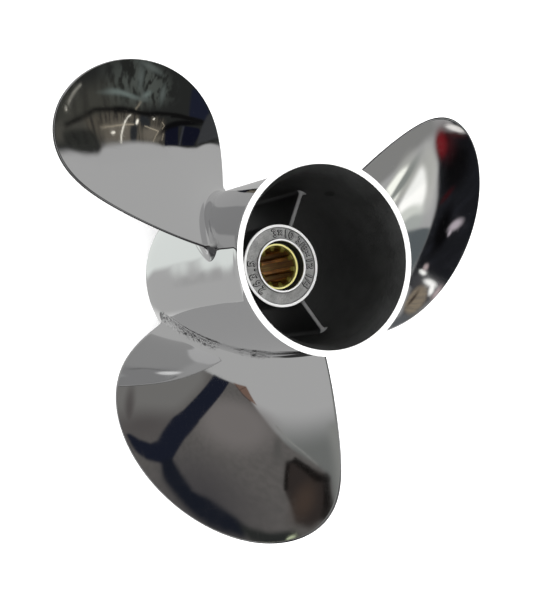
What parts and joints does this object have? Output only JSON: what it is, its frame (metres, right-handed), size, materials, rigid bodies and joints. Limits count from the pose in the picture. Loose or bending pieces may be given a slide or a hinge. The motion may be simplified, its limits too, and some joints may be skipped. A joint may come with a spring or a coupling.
{
  "type": "outboard motor propeller",
  "caption": "Polished stainless boat propeller that drives an outboard motor boat: wide raked blades on a hollow exhaust barrel, with a flared aft ring and a splined brass sleeve.",
  "frame": {"origin": "point on the propeller shaft's axis, in the plane of the barrel's fore end", "axes": "+Z along the shaft axis towards aft, where the exhaust leaves; blade_1 has its tip along +X"},
  "size_m": [0.2346, 0.2379, 0.112],
  "materials": {
    "barrel_steel": "mirror-polished stainless steel outside, dark as-cast inside",
    "ring_steel": "mirror-polished stainless steel with a machined rim face",
    "blade_steel": "mirror-polished stainless steel",
    "hub_steel": "as-cast grey face with machined bright bands",
    "rib_steel": "dark as-cast surface with lighter edges",
    "bush_rubber": "matte black moulded rubber",
    "sleeve_brass": "machined brass, darker down the splines"
  },
  "bodies": {
    "root": {"barrel": "barrel_steel", "diffuser_ring": "ring_steel", "blade_1": "blade_steel", "blade_2": "blade_steel", "blade_3": "blade_steel", "inner_hub": "hub_steel", "rib_1": "rib_steel", "rib_2": "rib_steel", "rib_3": "rib_steel", "rubber_bush": "bush_rubber", "spline_sleeve": "sleeve_brass"}
  },
  "joints": []
}
